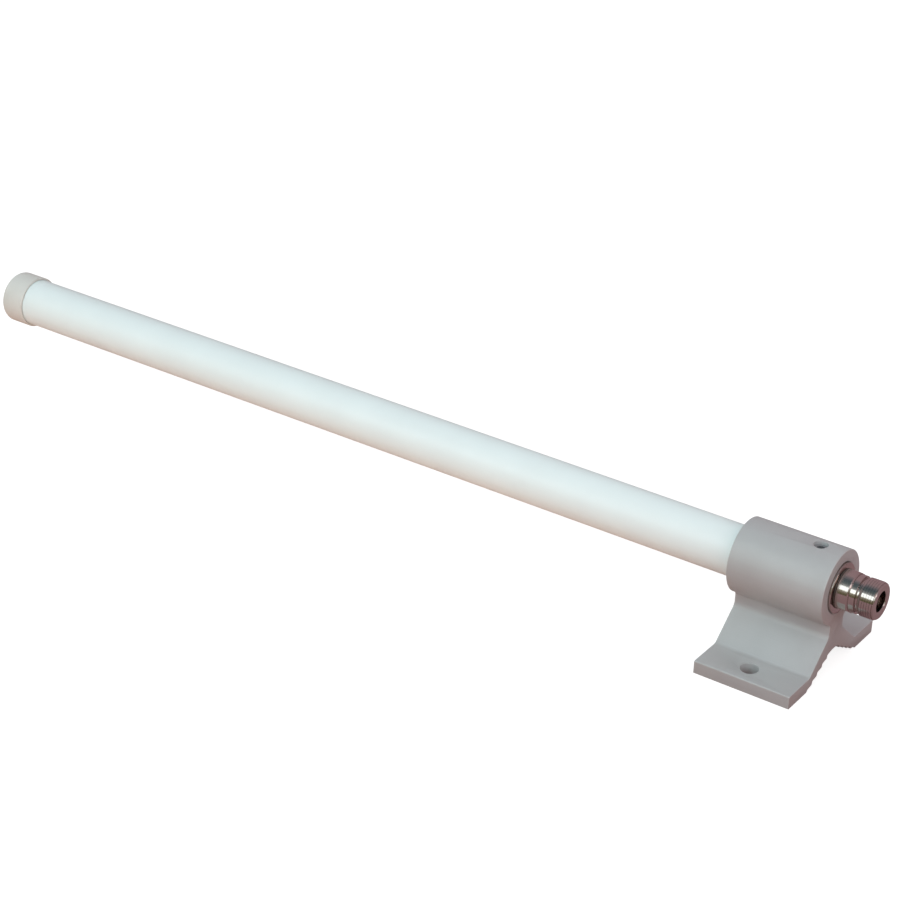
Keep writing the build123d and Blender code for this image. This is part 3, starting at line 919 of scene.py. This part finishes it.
class ANTENNA_OT_inside(bpy.types.Operator):
    """Give the pieces inside the tube their finishes"""

    bl_idname = "antenna.finish_inside"
    bl_label = "Inner Pieces"

    def execute(self, context):
        colours = context.scene.antenna_colours
        nickel = shared("Bright nickel plate", bright_nickel, colours.nickel)
        steel = shared("Zinc plated steel", zinc_plated_steel, colours.steel)
        rubber = shared("Nitrile rubber", nitrile_rubber)
        ptfe = shared("Turned PTFE", turned_ptfe)
        finishes = (
            (nickel, ("lock_nut",)),
            (steel, ("lock_washer",)),
            (rubber, ("cap_seal", "plug_seal")),
            (ptfe, ("rear_bead", "coax_dielectric")),
            (drawn_brass(), ("feed_ferrule", "choke_sleeve")),
            (bare_copper(), ("coax_outer", "coax_inner", "front_dipoles", "rear_dipoles", "ground_strap")),
            (glass_epoxy(), ("array_board",)),
            (flowed_solder(), ("feed_solder",)),
            (moulded_nylon(), ("board_holder",)),
            (cell_foam(), ("spacer_lower", "spacer_middle", "spacer_upper", "top_cushion")),
        )
        for material, nodes in finishes:
            for node in nodes:
                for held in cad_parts[node].material_slots:
                    held.material = material
        return {"FINISHED"}


class ANTENNA_OT_studio(bpy.types.Operator):
    """Add the floor, the lights and the camera"""

    bl_idname = "antenna.add_studio"
    bl_label = "Studio"

    def execute(self, context):
        studio = context.scene.antenna_studio
        context.scene.view_settings.view_transform = "Standard"
        context.scene.world = self.surroundings()
        self.add_floor()
        far_end = Vector((-0.6, 0.0, AXIS_Z))
        middle = Vector((-0.15, 0.0, AXIS_Z))
        above_front = Vector((0.0, -0.83, 0.557))
        overhead = Vector((0.0, -0.5, 0.87))
        past_jack = Vector((0.8, -0.3, 0.55))
        self.add_softbox(
            "key", far_end, above_front, distance=1.1, size=(1.1, 0.42),
            watts=studio.key_power, hex_colour="#E9FCFF",
        )
        sky = self.add_softbox(
            "sky", middle, overhead, distance=1.4, size=(1.5, 1.0),
            watts=studio.sky_power, hex_colour="#DBFFFF",
        )
        sky.visible_glossy = False
        self.add_softbox(
            "fill", middle, past_jack, distance=1.3, size=(0.8, 0.8),
            watts=studio.fill_power, hex_colour="#FFF0F2",
        )
        context.scene.camera = self.add_camera(studio)
        return {"FINISHED"}

    def add_floor(self):
        """Plain pale floor.

        The camera sees it near white and mirrors see it mauve. The light that it throws back is warm,
        and darker under the bracket and the jack.
        """
        half = 4.0
        mesh = bpy.data.meshes.new("floor")
        corners = [(-half, -half, 0), (half, -half, 0), (half, half, 0), (-half, half, 0)]
        mesh.from_pydata(corners, [], [(0, 1, 2, 3)])
        material, tree = blank("Paper floor")
        ray = add(tree, "ShaderNodeLightPath").outputs
        glow = add(tree, "ShaderNodeEmission", {"Color": (1.0, 1.0, 1.0), "Strength": 0.84})
        shaded = add(tree, "ShaderNodeBsdfDiffuse", {"Color": (0.36, 0.36, 0.36)})
        seen = add(tree, "ShaderNodeAddShader", {0: glow, 1: shaded})
        along = add(tree, "ShaderNodeSeparateXYZ", {
            "Vector": add(tree, "ShaderNodeTexCoord").outputs["Object"],
        }).outputs["X"]
        # the light thrown back is painted warm, and painted darker towards the bracket and the jack as the
        # shade under them
        tube_x, bracket_x = -0.05, 0.0
        under_tube, under_bracket = (0.98, 0.68, 0.55), (0.40, 0.16, 0.10)
        near_jack = add(tree, "ShaderNodeMapRange", {
            "Value": along, "From Min": tube_x, "From Max": bracket_x,
        })
        warm_bounce_and_shade = add(tree, "ShaderNodeValToRGB", {"Fac": near_jack}, [
            (0.0, under_tube), (1.0, under_bracket),
        ])
        bounced = add(tree, "ShaderNodeBsdfDiffuse", {"Color": warm_bounce_and_shade})
        mirrored = add(tree, "ShaderNodeBsdfDiffuse", {"Color": (0.45, 0.30, 0.32)})
        unseen = add(tree, "ShaderNodeMixShader", {0: ray["Is Glossy Ray"], 1: bounced, 2: mirrored})
        chosen = add(tree, "ShaderNodeMixShader", {0: ray["Is Camera Ray"], 1: unseen, 2: seen})
        add(tree, "ShaderNodeOutputMaterial", {"Surface": chosen})
        mesh.materials.append(material)
        floor = bpy.data.objects.new("floor", mesh)
        bpy.context.scene.collection.objects.link(floor)

    def surroundings(self):
        """White room to the camera, an even grey as light, and in mirrors walls that change tone round X."""
        world = bpy.data.worlds.new("studio room")
        world.use_nodes = True
        tree = world.node_tree
        tree.nodes.clear()
        way = add(tree, "ShaderNodeTexCoord").outputs["Generated"]
        axes = add(tree, "ShaderNodeSeparateXYZ", {"Vector": way}).outputs
        front = add(tree, "ShaderNodeMath", {0: axes["Y"], 1: -1.0}, operation="MULTIPLY")
        turn = add(tree, "ShaderNodeMath", {0: front, 1: axes["Z"]}, operation="ARCTAN2")
        quarter = math.pi / 2
        share = add(tree, "ShaderNodeMapRange", {"Value": turn, "From Min": -quarter, "From Max": quarter})
        walls = add(tree, "ShaderNodeValToRGB", {"Fac": share}, [
            (0.0, (0.44, 0.30, 0.34)),
            (0.38, (0.50, 0.38, 0.42)),
            (0.48, (0.26, 0.27, 0.31)),
            (0.56, (0.12, 0.17, 0.20)),
            (0.66, (0.18, 0.24, 0.26)),
            (0.74, (0.55, 0.62, 0.64)),
            (0.90, (0.46, 0.45, 0.36)),
            (0.96, (0.20, 0.19, 0.11)),
        ])
        mirrored = add(tree, "ShaderNodeBackground", {"Color": walls})
        even = add(tree, "ShaderNodeBackground", {"Color": (0.50, 0.46, 0.46)})
        white = add(tree, "ShaderNodeBackground", {"Color": (1.0, 1.0, 1.0)})
        ray = add(tree, "ShaderNodeLightPath").outputs
        unseen = add(tree, "ShaderNodeMixShader", {0: ray["Is Glossy Ray"], 1: even, 2: mirrored})
        chosen = add(tree, "ShaderNodeMixShader", {0: ray["Is Camera Ray"], 1: unseen, 2: white})
        add(tree, "ShaderNodeOutputWorld", {"Surface": chosen})
        return world

    def add_softbox(self, name, middle, direction, distance, size, watts, hex_colour):
        """Rectangular area light aimed at a point from a direction."""
        light = bpy.data.lights.new(name, "AREA")
        light.shape = "RECTANGLE"
        light.size, light.size_y = size
        light.energy = watts
        light.color = linear(hex_colour)
        lamp = bpy.data.objects.new(name, light)
        bpy.context.scene.collection.objects.link(lamp)
        lamp.location = middle + direction.normalized() * distance
        lamp.rotation_euler = direction.to_track_quat("Z", "Y").to_euler()
        return lamp

    def add_camera(self, studio):
        """Camera on its line of sight, level but for a small roll."""
        lens = bpy.data.cameras.new("camera")
        lens.lens = studio.lens
        sensor_width_mm, nearest_seen = 36.0, 0.01
        lens.sensor_width = sensor_width_mm
        lens.clip_start = nearest_seen
        camera = bpy.data.objects.new("camera", lens)
        bpy.context.scene.collection.objects.link(camera)
        back = Vector((
            math.sin(studio.azimuth) * math.cos(studio.elevation),
            -math.cos(studio.azimuth) * math.cos(studio.elevation),
            math.sin(studio.elevation),
        ))
        place = Matrix.Translation(Vector(studio.target) + back * studio.distance)
        level = back.to_track_quat("Z", "Y").to_matrix().to_4x4()
        camera.matrix_world = place @ level @ Matrix.Rotation(studio.roll, 4, "Z")
        return camera


OPERATORS = (
    ANTENNA_OT_radome,
    ANTENNA_OT_cap,
    ANTENNA_OT_bracket,
    ANTENNA_OT_jack,
    ANTENNA_OT_small_pieces,
    ANTENNA_OT_inside,
    ANTENNA_OT_studio,
)


class ANTENNA_PT_builder(bpy.types.Panel):
    """Lists the sizes, the colours and the operators"""

    bl_idname = "ANTENNA_PT_builder"
    bl_label = "Stick Antenna"
    bl_space_type = "VIEW_3D"
    bl_region_type = "UI"
    bl_category = "Antenna"

    def draw(self, context):
        layout = self.layout
        scene = context.scene
        for group in (scene.antenna_sizes, scene.antenna_colours, scene.antenna_studio):
            box = layout.box()
            for name in group.__annotations__:
                box.prop(group, name)
        column = layout.column(align=True)
        for operator in OPERATORS:
            column.operator(operator.bl_idname)


GROUPS = {
    "antenna_sizes": AntennaSizes,
    "antenna_colours": AntennaColours,
    "antenna_studio": AntennaStudio,
}
CLASSES = (*GROUPS.values(), *OPERATORS, ANTENNA_PT_builder)


def register():
    for cls in CLASSES:
        bpy.utils.register_class(cls)
    for name, group in GROUPS.items():
        setattr(bpy.types.Scene, name, bpy.props.PointerProperty(type=group))


def unregister():
    for name in GROUPS:
        delattr(bpy.types.Scene, name)
    for cls in reversed(CLASSES):
        bpy.utils.unregister_class(cls)


def main():
    """Builds everything in order."""
    register()
    bpy.ops.antenna.add_radome()
    bpy.ops.antenna.add_cap()
    bpy.ops.antenna.add_bracket()
    bpy.ops.antenna.add_jack()
    bpy.ops.antenna.add_small_pieces()
    bpy.ops.antenna.finish_inside()
    bpy.ops.antenna.add_studio()


if __name__ == "__main__":
    main()
